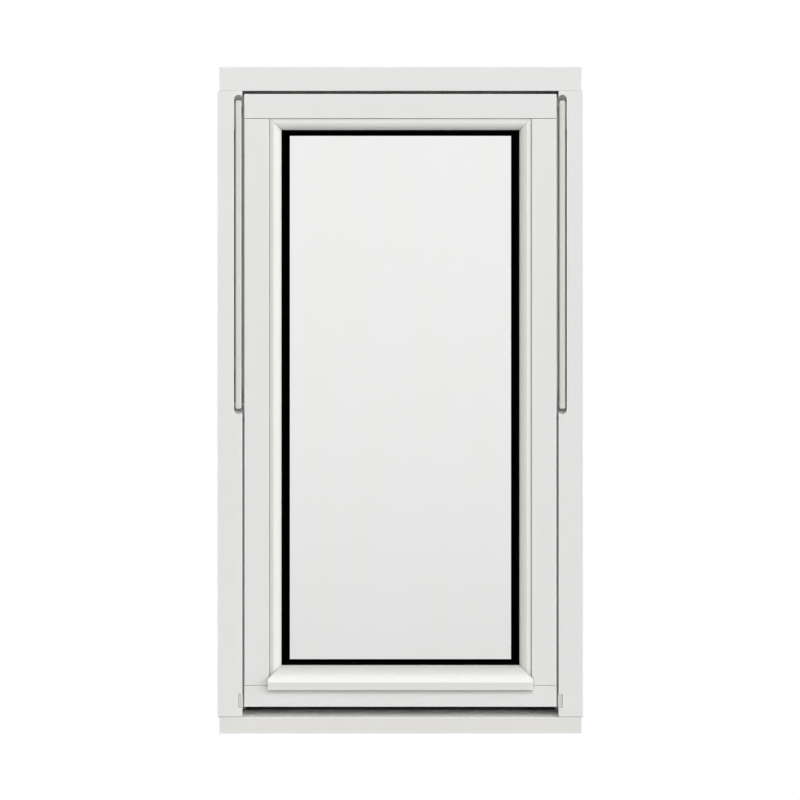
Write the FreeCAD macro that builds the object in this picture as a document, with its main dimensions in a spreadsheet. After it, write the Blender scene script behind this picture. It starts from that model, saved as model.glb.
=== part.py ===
import FreeCAD, Part
import math
import os
from types import SimpleNamespace

import Sketcher

# Reversible top-swing window in painted timber, closed, standing on its sill.
# Millimetres. +X is right seen from outside, +Y points into the room, +Z is up.
# The origin is on the underside of the sill, in the middle of the frame's width and depth.

SIZES = [
    # Frame
    ("frame_height", "1087", "sill underside to top of head"),
    ("frame_width", "591", "length of head and sill"),
    ("jamb_proud", "2.5", "jamb past the end of head and sill"),
    ("frame_depth", "115", "outside face to room face"),
    ("head_face", "39.2", "height of the head seen from outside"),
    ("jamb_face", "40.3", "width of a jamb seen from outside"),
    ("sill_face", "26.5", "height of the sill's front"),
    ("sill_rise", "13", "rise of the weathered sill top"),
    ("sill_undercut", "1.5", "front of the sill leans back to its foot"),
    ("rebate_depth", "62", "outside face to the stop"),
    ("stop_width", "13", "stop past the rebate on head and jambs"),
    ("sill_stop_rise", "14.5", "stop above the sill's rebate"),
    ("arris", "1", "rounding of outside edges"),
    ("stop_round", "3", "rounding of room-side edges"),
    ("seam_width", "1", "open seam at the feet of jambs and the ends of stiles"),
    ("seam_depth", "2.5", "open seam at the feet of jambs and the ends of stiles"),
    ("lining_inset", "14", "lining groove from the room face"),
    ("lining_width", "12", "width of the lining groove"),
    ("lining_depth", "8", "depth of the lining groove"),
    ("drip_inset", "12", "drip groove from the outside face"),
    ("drip_width", "5", "width of the drip grooves"),
    ("drip_depth", "4", "depth of the drip grooves"),
    ("foot_ease", "2", "jamb's inner edge cut away at the sill"),
    ("foot_ease_height", "10", "height of that cut"),
    ("foot_ease_radius", "14", "curve of that cut"),
    ("fixing_bore", "14", "diameter of the wall fixing holes"),
    ("fixing_inset", "150", "wall fixing holes from the frame's ends"),
    ("fixing_setback", "13", "wall fixing holes behind the stop face"),
    # Sash
    ("gap_side", "3.4", "sash to jamb"),
    ("gap_top", "5.2", "sash to head"),
    ("gap_bottom", "4.5", "sash to the back of the sill's slope"),
    ("sash_setback", "1", "sash face behind the frame face"),
    ("sash_thickness", "58", "sash front to back"),
    ("stile_face", "40.3", "width of a stile seen from outside"),
    ("top_rail_face", "39.7", "height of the top rail seen from outside"),
    ("bottom_rail_face", "34.4", "height of the bottom rail seen from outside"),
    ("floor_rise", "12.8", "rise of the drained floor under the glass"),
    ("lip_thickness", "14", "room-side lip behind the glass"),
    ("lip_round", "4", "rounding of the lip"),
    ("seal_inset", "1.5", "weather seal from the edge of the stop"),
    ("seal_width", "5", "width of the weather seal on the jambs"),
    ("seal_round", "1.2", "rounding of the weather seal"),
    ("strip_setback", "17", "edge strip of a stile behind the frame face"),
    ("strip_depth", "4", "edge strip of a stile"),
    ("strip_play", "0.3", "edge strip to the jamb"),
    ("strip_margin", "2", "edge strip from the ends of the sash"),
    # Glazing
    ("side_bead", "20", "width of the side beads"),
    ("top_bead", "18.9", "width of the top bead"),
    ("bottom_bead", "33.4", "bottom bead above the bottom rail's face"),
    ("crown_inset", "7.2", "crown of a bead from its outer edge"),
    ("crown_sink", "0.5", "crown of a bead below the sash face"),
    ("bead_swell", "19", "swell of a bead from its crown to the glass"),
    ("bead_sink", "2.5", "outer edge of a bead below the sash face"),
    ("bead_play", "0.6", "open seam between a bead and the sash"),
    ("bead_toe", "2.5", "upright edge of a bead at the glass"),
    ("nose_proud", "10", "drip nose past the sash face"),
    ("nose_drop", "7", "drip nose below the top of the rail's face"),
    ("nose_edge", "5.2", "upper edge of the nose above the rail's face"),
    ("nose_shoulder", "13.5", "foot of the side beads above the rail's face"),
    ("nose_bevel", "3.4", "bevelled top of the nose, front to back"),
    ("nose_lap", "2.3", "nose over each stile"),
    ("nose_lean", "0.7", "front of the nose leans back to its foot"),
    ("nose_lip", "3", "flat underside of the nose"),
    ("nose_slope", "2.5", "rise of the nose's underside"),
    ("nose_round", "2.5", "rounding of the nose's upper edge"),
    ("bottom_swell", "36", "swell of the bottom bead from the nose to the glass"),
    ("pane_thickness", "4", "each sheet of glass"),
    ("cavity", "16", "space between the sheets"),
    ("edge_seal", "24.6", "dark edge of the glass unit"),
    ("spacer_width", "8", "spacer bar within the dark edge"),
    ("tape_thickness", "3", "bedding tape on the lip"),
    ("gasket_thickness", "3", "gasket under the beads"),
    ("gasket_show", "4.5", "gasket past the beads"),
    ("gasket_bevel", "1.6", "sloping edge of the gasket"),
    ("glass_clear_side", "9.2", "glass to the side of its rebate"),
    ("glass_clear_top", "4", "glass to the top of its rebate"),
    ("block_height", "5.8", "setting block at its back edge"),
    ("block_length", "80", "length of a setting block"),
    ("block_inset", "55", "setting block from the corner of the glass"),
    # Swing gear
    ("recess_width", "13.6", "recess of a swing arm across the jamb"),
    ("recess_depth", "22", "recess of a swing arm into the jamb"),
    ("recess_length", "521.2", "length of the recess"),
    ("recess_head", "6.2", "top of the recess below the head"),
    ("recess_web_width", "6.4", "web left at each inner corner of the recess"),
    ("recess_web_height", "4.5", "web left at each inner corner of the recess"),
    ("arm_gap", "1.3", "arm behind the jamb's edge"),
    ("arm_width", "10.1", "width of an arm seen from outside"),
    ("arm_depth", "16", "depth of an arm"),
    ("arm_setback", "1.5", "arm behind the frame face"),
    ("arm_head_gap", "9.3", "arm to the top of its recess"),
    ("arm_foot_gap", "8.6", "arm to the foot of its recess"),
    ("arm_round", "3", "rounding of an arm's edges"),
    ("arm_corner", "3.5", "rounding of an arm's front corners"),
    ("pivot_radius", "3", "pivot stud"),
    ("pivot_play", "0.05", "pivot stud in its eye"),
    ("rivet_radius", "5.5", "head of a pivot stud"),
    ("rivet_thickness", "1.2", "thickness of a stud's head"),
    ("side_play", "0.2", "arm to the plates beside it"),
    ("plate_length", "46", "pivot plates"),
    ("plate_width", "9", "pivot plates"),
    ("plate_thickness", "2", "pivot plates on the sash"),
    ("track_setback", "30", "guide track behind the frame face"),
    ("track_width", "14", "width of the guide track"),
    ("track_depth", "8", "depth of the guide track"),
    ("track_wall", "1.5", "wall of the guide track"),
    ("track_margin", "10", "guide track from the ends of the stop"),
    ("shoe_length", "22", "guide shoe"),
    ("shoe_play", "0.3", "guide shoe in its track"),
    ("shoe_drop", "45", "guide shoe below the top of the sash"),
    ("keeper_width", "7", "keeper seen from outside"),
    ("keeper_height", "23", "keeper seen from outside"),
    ("keeper_depth", "16", "keeper into the jamb"),
    ("keeper_rise", "15.4", "keeper above the sill's front"),
    ("keeper_sink", "0.6", "keeper behind the frame face"),
    ("keeper_proud", "1.2", "keeper into the gap beside the sash"),
    ("keeper_play", "0.25", "keeper in its pocket"),
    ("keeper_round", "0.8", "rounding of the keeper's front"),
    # Handle on the room side of the bottom rail
    ("rose_length", "68", "length of the handle's base"),
    ("rose_height", "28", "height of the handle's base"),
    ("rose_thickness", "9", "thickness of the handle's base"),
    ("rose_rise", "28", "middle of the handle above the sill's stop"),
    ("rose_round", "2", "rounding of the handle's base"),
    ("neck_radius", "7", "neck of the lever"),
    ("neck_length", "22", "base to the back of the grip"),
    ("grip_length", "118", "length of the lever"),
    ("grip_height", "18", "height of the lever at its neck"),
    ("grip_end_height", "14", "height of the lever at its end"),
    ("grip_thickness", "10", "thickness of the lever"),
    ("grip_round", "3", "rounding of the lever"),
]

NEAR = 1e-4  # places closer than this are the same
HALF = "half"  # marks a half round between two corners of an outline


class Size:
    """A length with its value and the spreadsheet expression that gives it."""

    def __init__(self, value, text):
        self.value = value
        self.text = text

    def combine(self, sign, other, value):
        return Size(value, f"({self.text} {sign} {sized(other).text})")

    def __add__(self, other):
        return self.combine("+", other, self.value + sized(other).value)

    def __sub__(self, other):
        return self.combine("-", other, self.value - sized(other).value)

    def __mul__(self, other):
        return self.combine("*", other, self.value * sized(other).value)

    def __truediv__(self, other):
        return self.combine("/", other, self.value / sized(other).value)

    def __neg__(self):
        return Size(-self.value, f"(-{self.text})")


def sized(number):
    return number if isinstance(number, Size) else Size(float(number), str(number))


doc = FreeCAD.newDocument("window")
sheet = doc.addObject("Spreadsheet::Sheet", "Sizes")
for row, (alias, number, note) in enumerate(SIZES, start=1):
    sheet.set(f"A{row}", note)
    sheet.set(f"B{row}", number)
    sheet.setAlias(f"B{row}", alias)
doc.recompute()
mm = SimpleNamespace(**{alias: Size(float(sheet.get(alias)), f"Sizes.{alias}") for alias, _, _ in SIZES})

# Places that several pieces share, for the right-hand side where there are two sides
zero = sized(0)
outside = -mm.frame_depth / 2
room = mm.frame_depth / 2
stop_y = outside + mm.rebate_depth
head_bottom = mm.frame_height - mm.head_face
head_stop = head_bottom - mm.stop_width
sill_back = mm.sill_face + mm.sill_rise
sill_stop = sill_back + mm.sill_stop_rise
jamb_outer = mm.frame_width / 2 + mm.jamb_proud
jamb_inner = jamb_outer - mm.jamb_face
stop_x = jamb_inner - mm.stop_width

sash_x = jamb_inner - mm.gap_side
sash_top = head_bottom - mm.gap_top
sash_bottom = sill_back + mm.gap_bottom
sash_front = outside + mm.sash_setback
sash_back = sash_front + mm.sash_thickness
lip_y = sash_back - mm.lip_thickness
stile_x = sash_x - mm.stile_face
top_seam = sash_top - mm.top_rail_face
bottom_seam = sash_bottom + mm.bottom_rail_face
floor_back = bottom_seam + mm.floor_rise

sight_x = stile_x - mm.side_bead
sight_top = top_seam - mm.top_bead
sight_bottom = bottom_seam + mm.bottom_bead
inner_glass_y = lip_y - mm.tape_thickness
cavity_back = inner_glass_y - mm.pane_thickness
cavity_front = cavity_back - mm.cavity
outer_glass_y = cavity_front - mm.pane_thickness
bead_back = outer_glass_y - mm.gasket_thickness
glass_x = stile_x - mm.glass_clear_side
glass_top = top_seam - mm.glass_clear_top
glass_bottom = floor_back + mm.block_height
shoulder = bottom_seam + mm.nose_shoulder

recess_x = jamb_inner + mm.recess_width
recess_top = head_bottom - mm.recess_head
recess_bottom = recess_top - mm.recess_length
recess_back = outside + mm.recess_depth
arm_inner = jamb_inner + mm.arm_gap
arm_outer = arm_inner + mm.arm_width
arm_front = outside + mm.arm_setback
arm_back = arm_front + mm.arm_depth
arm_top = recess_top - mm.arm_head_gap
arm_bottom = recess_bottom + mm.arm_foot_gap
arm_eye = mm.arm_depth / 2
pivot_y = arm_front + arm_eye
frame_pivot_z = arm_top - arm_eye
sash_pivot_z = arm_bottom + arm_eye
track_front = outside + mm.track_setback
track_back = track_front + mm.track_width
shoe_y = track_front + mm.track_width / 2
shoe_z = sash_top - mm.shoe_drop
keeper_bottom = mm.sill_face + mm.keeper_rise
keeper_top = keeper_bottom + mm.keeper_height
keeper_back = outside + mm.keeper_depth
handle_z = sill_stop + mm.rose_rise


def floor_at(y):
    return bottom_seam + mm.floor_rise * (y - sash_front) / (lip_y - sash_front)


def new_body(label):
    body = doc.addObject("PartDesign::Body", label)
    body.Label = label
    return body


def new_sketch(body, role, offset):
    sketch = body.newObject("Sketcher::SketchObject", body.Label + "_sketch")
    plane = next(f for f in body.Origin.OriginFeatures if f.Role == role)
    sketch.AttachmentSupport = [(plane, "")]
    sketch.MapMode = "FlatFace"
    sketch.setExpression("AttachmentOffset.Base.z", offset.text)
    return sketch


def bind(sketch, kind, place, size):
    index = sketch.addConstraint(Sketcher.Constraint(kind, *place, size.value))
    sketch.setExpression(f"Constraints[{index}]", size.text)


def arc_between(start, end, radius):
    """Arc that bulges to the right of the way from start to end."""
    chord = end - start
    mid = (start + end) / 2
    left = FreeCAD.Vector(-chord.y, chord.x, 0).normalize()
    centre = mid + left * math.sqrt(max(radius**2 - chord.Length**2 / 4, 0))
    first = math.atan2(start.y - centre.y, start.x - centre.x)
    last = math.atan2(end.y - centre.y, end.x - centre.x)
    if last < first:
        last += 2 * math.pi
    return Part.ArcOfCircle(Part.Circle(centre, FreeCAD.Vector(0, 0, 1), radius), first, last)


def draw(sketch, corners):
    """Closed outline, anticlockwise. A third item is the radius of the arc to the next corner, or HALF."""
    points = [FreeCAD.Vector(corner[0].value, corner[1].value, 0) for corner in corners]
    edges = []
    for i, corner in enumerate(corners):
        start = points[i]
        end = points[(i + 1) % len(points)]
        if len(corner) == 2:
            shape = Part.LineSegment(start, end)
        elif corner[2] is HALF:
            shape = arc_between(start, end, (end - start).Length / 2)
        else:
            shape = arc_between(start, end, corner[2].value)
        edges.append(sketch.addGeometry(shape))
    for i, edge in enumerate(edges):
        sketch.addConstraint(Sketcher.Constraint("Coincident", edge, 2, edges[(i + 1) % len(edges)], 1))
    for i, (edge, corner) in enumerate(zip(edges, corners)):
        bind(sketch, "DistanceX", (-1, 1, edge, 1), corner[0])
        bind(sketch, "DistanceY", (-1, 1, edge, 1), corner[1])
        if len(corner) == 2:
            continue
        if corner[2] is not HALF:
            bind(sketch, "Radius", (edge,), corner[2])
        elif abs(points[i].x - points[(i + 1) % len(points)].x) < NEAR:
            bind(sketch, "DistanceX", (-1, 1, edge, 3), corner[0])
        else:
            bind(sketch, "DistanceY", (-1, 1, edge, 3), corner[1])


def draw_circle(sketch, across, up, radius):
    centre = FreeCAD.Vector(across.value, up.value, 0)
    circle = sketch.addGeometry(Part.Circle(centre, FreeCAD.Vector(0, 0, 1), radius.value))
    bind(sketch, "DistanceX", (-1, 1, circle, 3), across)
    bind(sketch, "DistanceY", (-1, 1, circle, 3), up)
    bind(sketch, "Radius", (circle,), radius)


def box_corners(low, high):
    return [(low[0], low[1]), (high[0], low[1]), (high[0], high[1]), (low[0], high[1])]


def pad(body, sketch, length, middle=False, back=False):
    feature = body.newObject("PartDesign::Pad", body.Label + "_pad")
    feature.Profile = sketch
    feature.setExpression("Length", length.text)
    feature.SideType = "Symmetric" if middle else "One side"
    feature.Reversed = back
    body.Tip = feature
    doc.recompute()
    return feature


def pocket(body, sketch, length=None, back=False):
    """Cut against the sketch's normal, or along it with back; right through where no length is given."""
    before = body.Shape.Volume
    feature = body.newObject("PartDesign::Pocket", body.Label + "_pocket")
    feature.Profile = sketch
    if length is None:
        feature.Type = "ThroughAll"
        feature.SideType = "Symmetric"
    else:
        feature.setExpression("Length", length.text)
        feature.Reversed = back
    body.Tip = feature
    doc.recompute()
    if body.Shape.Volume > before - NEAR:
        raise RuntimeError(f"a cut in {body.Label} removes nothing")
    return feature


def edges_on(body, places):
    """Names of the body's edges that lie whole on any of the places, each a set of coordinates."""
    names = []
    for number, edge in enumerate(body.Shape.Edges, start=1):
        if edge.Degenerated:
            continue
        points = edge.discretize(3)
        for place in places:
            if all(abs(getattr(p, axis) - at.value) < NEAR for p in points for axis, at in place.items()):
                names.append(f"Edge{number}")
                break
    return names


def dress(body, kind, size, *places):
    names = edges_on(body, places)
    if not names:
        raise RuntimeError(f"no edge to dress on {body.Label}")
    base = body.Tip
    feature = body.newObject(f"PartDesign::{kind}", body.Label + "_edge")
    feature.Base = (base, names)
    feature.setExpression("Radius" if kind == "Fillet" else "Size", size.text)
    body.Tip = feature
    doc.recompute()
    return feature


def side_profile(body, corners, x, length, middle=False, back=False):
    """Pad of an outline in Y and Z that starts at x and runs to the right, or to the left with back."""
    sketch = new_sketch(body, "YZ_Plane", x)
    draw(sketch, corners)
    return pad(body, sketch, length, middle, back)


def side_pocket(body, corners, x, length, back=False):
    sketch = new_sketch(body, "YZ_Plane", x)
    draw(sketch, corners)
    return pocket(body, sketch, length, back)


def mitre_cut(body, corners):
    """Cut of an outline in X and Z, right through from front to back."""
    sketch = new_sketch(body, "XZ_Plane", zero)
    draw(sketch, corners)
    return pocket(body, sketch)


def round_pad(body, x, y, z, radius, length, back=False):
    sketch = new_sketch(body, "YZ_Plane", x)
    draw_circle(sketch, y, z, radius)
    return pad(body, sketch, length, back=back)


def ring(label, back_y, depth, outer, inner):
    """Rectangular ring from back_y outwards; outer and inner are (half width, bottom, top)."""
    body = new_body(label)
    sketch = new_sketch(body, "XZ_Plane", -back_y)
    for half, low, high in (outer, inner):
        draw(sketch, box_corners((-half, low), (half, high)))
    pad(body, sketch, depth)
    return body


def mirrored(source, label):
    copy = doc.addObject("Part::Mirroring", label)
    copy.Label = label
    copy.Source = source
    copy.Base = FreeCAD.Vector(0, 0, 0)
    copy.Normal = FreeCAD.Vector(1, 0, 0)
    return copy


def lining_groove(start, step):
    """Corners of the lining groove on an edge at height start, cut towards start + step."""
    near = room - mm.lining_inset
    far = near - mm.lining_width
    return [(near, start), (near, start + step), (far, start + step), (far, start)]


def drip_groove(front, height):
    near = front + mm.drip_inset
    far = near + mm.drip_width
    return [(near, height), (near, height + mm.drip_depth), (far, height + mm.drip_depth), (far, height)]


def make_head():
    body = new_body("head")
    corners = [(outside, head_bottom), (stop_y, head_bottom), (stop_y, head_stop), (room, head_stop)]
    corners.append((room, mm.frame_height))
    corners += lining_groove(mm.frame_height, -mm.lining_depth)
    corners.append((outside, mm.frame_height))
    side_profile(body, corners, zero, mm.frame_width, middle=True)
    dress(body, "Fillet", mm.arris, {"y": outside, "z": head_bottom}, {"y": outside, "z": mm.frame_height})
    dress(body, "Fillet", mm.stop_round, {"y": room, "z": head_stop})
    return body


def make_sill():
    body = new_body("sill")
    corners = [(outside + mm.sill_undercut, zero)]
    corners += drip_groove(outside, zero)
    corners += list(reversed(lining_groove(zero, mm.lining_depth)))
    corners += [(room, zero), (room, sill_stop), (stop_y, sill_stop), (stop_y, sill_back)]
    corners.append((outside, mm.sill_face))
    side_profile(body, corners, zero, mm.frame_width, middle=True)
    dress(body, "Fillet", mm.arris, {"y": outside, "z": mm.sill_face})
    dress(body, "Fillet", mm.stop_round, {"y": room, "z": sill_stop})
    return body


def make_jamb():
    body = new_body("right_jamb")
    # The ends are scribed to the sections of the sill and the head.
    corners = [(outside, mm.sill_face), (stop_y, sill_back), (stop_y, sill_stop), (room, sill_stop)]
    corners += [(room, head_stop), (stop_y, head_stop), (stop_y, head_bottom), (outside, head_bottom)]
    side_profile(body, corners, jamb_inner, mm.jamb_face)
    side_profile(body, box_corners((stop_y, sill_stop), (room, head_stop)), stop_x, mm.stop_width)
    dress(body, "Fillet", mm.arris, {"y": outside})
    dress(body, "Fillet", mm.stop_round, {"x": stop_x, "y": room})
    near = room - mm.lining_inset
    groove = box_corners((near - mm.lining_width, sill_back), (near, mm.frame_height))
    side_pocket(body, groove, jamb_outer, mm.lining_depth)
    # Recess of the swing arm, milled with a round-nosed cutter that leaves the wood at both ends on a circle
    nose = mm.recess_width / 2
    low = recess_bottom + mm.recess_depth
    high = recess_top - mm.recess_depth
    front = outside - mm.arris
    recess = [(front, recess_bottom), (outside, recess_bottom, mm.recess_depth), (recess_back, low)]
    recess += [(recess_back, high, mm.recess_depth), (outside, recess_top), (front, recess_top)]
    side_pocket(body, recess, jamb_inner, mm.recess_width, back=True)
    dress(body, "Fillet", nose, {"x": recess_x, "y": recess_back})
    # Webs that the cutter leaves at the recess's inner corners
    web_x = jamb_inner + mm.recess_web_width
    web_low = recess_bottom + mm.recess_web_height
    web_high = recess_top - mm.recess_web_height
    upper = [(web_x, recess_top, nose), (jamb_inner, web_high), (jamb_inner, recess_top)]
    lower = [(jamb_inner, web_low, nose), (web_x, recess_bottom), (jamb_inner, recess_bottom)]
    for web in (upper, lower):
        sketch = new_sketch(body, "XZ_Plane", -outside - mm.arris)
        draw(sketch, web)
        pad(body, sketch, mm.recess_depth - mm.arris, back=True)
    # The foot's inner edge is eased above the sill
    ease_x = jamb_inner + mm.foot_ease
    ease_top = mm.sill_face + mm.foot_ease_height
    past_x = jamb_inner - mm.foot_ease
    past_z = mm.sill_face - mm.foot_ease
    foot = [(past_x, past_z), (past_x, ease_top), (jamb_inner, ease_top, mm.foot_ease_radius)]
    foot += [(ease_x, mm.sill_face), (ease_x, past_z)]
    mitre_cut(body, foot)
    track = box_corners((track_front, sill_stop + mm.track_margin), (track_back, head_stop - mm.track_margin))
    side_pocket(body, track, jamb_inner, mm.track_depth, back=True)
    keeper = box_corners((front, keeper_bottom), (keeper_back, keeper_top))
    side_pocket(body, keeper, jamb_inner, mm.keeper_width, back=True)
    seam_back = outside + mm.seam_depth
    seam_top = mm.sill_face + mm.seam_width + mm.sill_rise * mm.seam_depth / mm.rebate_depth
    seam = box_corners((front, past_z), (seam_back, seam_top))
    side_pocket(body, seam, jamb_inner, mm.jamb_face, back=True)
    sketch = new_sketch(body, "YZ_Plane", jamb_outer)
    for height in (mm.fixing_inset, mm.frame_height - mm.fixing_inset):
        draw_circle(sketch, stop_y + mm.fixing_setback, height, mm.fixing_bore / 2)
    pocket(body, sketch)
    return body


def make_frame_seal():
    half = stop_x + mm.seal_inset
    low = sill_stop - mm.seal_inset
    high = head_stop + mm.seal_inset
    # On the sill the seal fills the stop's face down to the back of the slope.
    outer = (half + mm.seal_width, sill_back, high + mm.seal_width)
    body = ring("frame_seal", stop_y, stop_y - sash_back, outer, (half, low, high))
    dress(body, "Fillet", mm.seal_round, {"y": sash_back})
    return body


def make_top_rail():
    body = new_body("sash_top_rail")
    corners = [(sash_front, top_seam), (lip_y, top_seam), (lip_y, sight_top), (sash_back, sight_top)]
    corners += [(sash_back, sash_top), (sash_front, sash_top)]
    side_profile(body, corners, zero, sash_x * 2, middle=True)
    dress(body, "Fillet", mm.arris, {"y": sash_front, "z": top_seam}, {"y": sash_front, "z": sash_top})
    dress(body, "Fillet", mm.lip_round, {"y": sash_back, "z": sight_top})
    return body


def make_bottom_rail():
    body = new_body("sash_bottom_rail")
    corners = [(sash_front, sash_bottom)] + drip_groove(sash_front, sash_bottom)
    corners += [(sash_back, sash_bottom), (sash_back, sight_bottom), (lip_y, sight_bottom)]
    corners += [(lip_y, floor_back), (sash_front, bottom_seam)]
    side_profile(body, corners, zero, sash_x * 2, middle=True)
    dress(body, "Fillet", mm.arris, {"y": sash_front, "z": sash_bottom}, {"y": sash_front, "z": bottom_seam})
    dress(body, "Fillet", mm.lip_round, {"y": sash_back, "z": sight_bottom})
    return body


def make_stile():
    body = new_body("right_stile")
    # The ends are scribed to the sections of the two rails.
    corners = [(sash_front, bottom_seam), (lip_y, floor_back), (lip_y, sight_bottom)]
    corners += [(sash_back, sight_bottom), (sash_back, sight_top), (lip_y, sight_top)]
    corners += [(lip_y, top_seam), (sash_front, top_seam)]
    side_profile(body, corners, stile_x, mm.stile_face)
    side_profile(body, box_corners((lip_y, sight_bottom), (sash_back, sight_top)), sight_x, mm.side_bead)
    dress(body, "Fillet", mm.arris, {"y": sash_front})
    dress(body, "Fillet", mm.lip_round, {"x": sight_x, "y": sash_back})
    front = sash_front - mm.arris
    seam_back = sash_front + mm.seam_depth
    low = box_corners((front, bottom_seam), (seam_back, bottom_seam + mm.seam_width))
    high = box_corners((front, top_seam - mm.seam_width), (seam_back, top_seam))
    for seam in (low, high):
        side_pocket(body, seam, stile_x, mm.stile_face, back=True)
    return body


def make_stile_strip():
    # Strip on the edge of the stile that closes the gap beside the sash
    body = new_body("right_stile_strip")
    front = outside + mm.strip_setback
    low = sash_bottom + mm.strip_margin
    high = sash_top - mm.strip_margin
    section = box_corners((front, low), (front + mm.strip_depth, high))
    side_profile(body, section, sash_x, mm.gap_side - mm.strip_play)
    return body


# Bead section: straight slope from a sunk outer edge to the crown, swelling slope from there to the glass
crown_y = sash_front + mm.crown_sink
bead_edge_y = sash_front + mm.bead_sink
bead_toe_y = bead_back - mm.bead_toe
bead_x = stile_x - mm.bead_play
bead_top = top_seam - mm.bead_play


def make_side_bead():
    body = new_body("glazing_bead_right")
    sketch = new_sketch(body, "XY_Plane", shoulder)
    crown_x = stile_x - mm.crown_inset
    corners = [(sight_x, bead_back), (sight_x, bead_toe_y, mm.bead_swell), (crown_x, crown_y)]
    corners += [(bead_x, bead_edge_y), (bead_x, bead_back)]
    draw(sketch, corners)
    pad(body, sketch, top_seam - shoulder)
    # Mitres, each cut along a line drawn out past both edges of the bead
    left = sight_x - mm.side_bead
    right = stile_x + mm.side_bead
    above = top_seam + mm.top_bead
    mitre_cut(body, [(left, sight_top - mm.top_bead), (right, above), (left, above)])
    fall = sight_bottom - shoulder
    below = shoulder - fall
    mitre_cut(body, [(left, below), (right, below), (left, sight_bottom + fall)])
    return body


def make_top_bead():
    body = new_body("glazing_bead_top")
    corners = [(bead_back, sight_top), (bead_back, bead_top), (bead_edge_y, bead_top)]
    corners += [(crown_y, top_seam - mm.crown_inset, mm.bead_swell), (bead_toe_y, sight_top)]
    side_profile(body, corners, zero, stile_x * 2, middle=True)
    near = sight_x - mm.side_bead
    far = stile_x + mm.side_bead
    low = sight_top - mm.top_bead
    high = top_seam + mm.top_bead
    mitre_cut(body, [(near, low), (far, low), (far, high)])
    mitre_cut(body, [(-near, low), (-far, high), (-far, low)])
    return body


def make_bottom_bead():
    body = new_body("glazing_bead_bottom")
    nose_front = sash_front - mm.nose_proud
    nose_bottom = bottom_seam - mm.nose_drop
    nose_edge = bottom_seam + mm.nose_edge
    nose_x = stile_x + mm.nose_lap
    foot_y = nose_front + mm.nose_lean
    corners = [(foot_y, nose_bottom), (foot_y + mm.nose_lip, nose_bottom)]
    corners += [(sash_front, nose_bottom + mm.nose_slope), (sash_front, bottom_seam)]
    corners += [(bead_back, floor_at(bead_back)), (bead_back, sight_bottom)]
    corners += [(bead_toe_y, sight_bottom, mm.bottom_swell), (nose_front + mm.nose_bevel, shoulder)]
    corners.append((nose_front, nose_edge))
    side_profile(body, corners, zero, nose_x * 2, middle=True)
    dress(body, "Fillet", mm.nose_round, {"y": nose_front, "z": nose_edge})
    fall = sight_bottom - shoulder
    near = sight_x - mm.side_bead
    far = nose_x + mm.nose_lap
    high = sight_bottom + fall
    # The ends: mitred above the shoulder, and cut back to the face of the stiles behind the nose
    mitre_cut(body, [(near, high), (stile_x, shoulder), (far, shoulder), (far, high)])
    mitre_cut(body, [(-near, high), (-far, high), (-far, shoulder), (-stile_x, shoulder)])
    for side in (-1, 1):
        sketch = new_sketch(body, "XY_Plane", zero)
        xs = (stile_x, far) if side > 0 else (-far, -stile_x)
        draw(sketch, box_corners((xs[0], sash_front), (xs[1], lip_y)))
        pocket(body, sketch)
    return body


def make_pane(label, front):
    pane = doc.addObject("Part::Box", label)
    pane.Label = label
    pane.setExpression("Length", (glass_x * 2).text)
    pane.setExpression("Width", mm.pane_thickness.text)
    pane.setExpression("Height", (glass_top - glass_bottom).text)
    pane.setExpression("Placement.Base.x", (-glass_x).text)
    pane.setExpression("Placement.Base.y", front.text)
    pane.setExpression("Placement.Base.z", glass_bottom.text)
    return pane


def inset_box(amount):
    return (glass_x - amount, glass_bottom + amount, glass_top - amount)


def make_glass_edge():
    bar_outer = mm.edge_seal - mm.spacer_width
    spacer = ring("spacer_bar", cavity_back, mm.cavity, inset_box(bar_outer), inset_box(mm.edge_seal))
    sealant = ring("edge_sealant", cavity_back, mm.cavity, inset_box(zero), inset_box(bar_outer))
    return [spacer, sealant]


def make_gasket():
    inner = (sight_x - mm.gasket_show, sight_bottom + mm.gasket_show, sight_top - mm.gasket_show)
    body = ring("glazing_gasket", outer_glass_y, mm.gasket_thickness, inset_box(zero), inner)
    half, low, high = inner
    rim = [{"x": half, "y": bead_back}, {"x": -half, "y": bead_back}]
    rim += [{"y": bead_back, "z": low}, {"y": bead_back, "z": high}]
    dress(body, "Chamfer", mm.gasket_bevel, *rim)
    return body


def make_tape():
    return ring("glazing_tape", lip_y, mm.tape_thickness, inset_box(zero), (sight_x, sight_bottom, sight_top))


def make_setting_block():
    body = new_body("right_setting_block")
    corners = [(outer_glass_y, floor_at(outer_glass_y)), (inner_glass_y, floor_at(inner_glass_y))]
    corners += [(inner_glass_y, glass_bottom), (outer_glass_y, glass_bottom)]
    side_profile(body, corners, glass_x - mm.block_inset, mm.block_length, back=True)
    return body


def eye_link(front, back, low, high, eye):
    """Bar with round ends in Y and Z."""
    return [(back, low + eye), (back, high - eye, HALF), (front, high - eye), (front, low + eye, HALF)]


def make_arm():
    body = new_body("right_swing_arm")
    # Flat front with eased corners, back rounded about the pivots
    corner_y = arm_front + mm.arm_corner
    bar = [(arm_back, arm_bottom + arm_eye), (arm_back, arm_top - arm_eye, arm_eye), (pivot_y, arm_top)]
    bar += [(corner_y, arm_top, mm.arm_corner), (arm_front, arm_top - mm.arm_corner)]
    bar += [(arm_front, arm_bottom + mm.arm_corner, mm.arm_corner), (corner_y, arm_bottom)]
    bar.append((pivot_y, arm_bottom, arm_eye))
    side_profile(body, bar, arm_inner, mm.arm_width)
    dress(body, "Fillet", mm.arm_round, {"x": arm_inner}, {"x": arm_outer})
    sketch = new_sketch(body, "YZ_Plane", arm_outer)
    for height in (frame_pivot_z, sash_pivot_z):
        draw_circle(sketch, pivot_y, height, mm.pivot_radius + mm.pivot_play)
    pocket(body, sketch)
    return body


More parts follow.
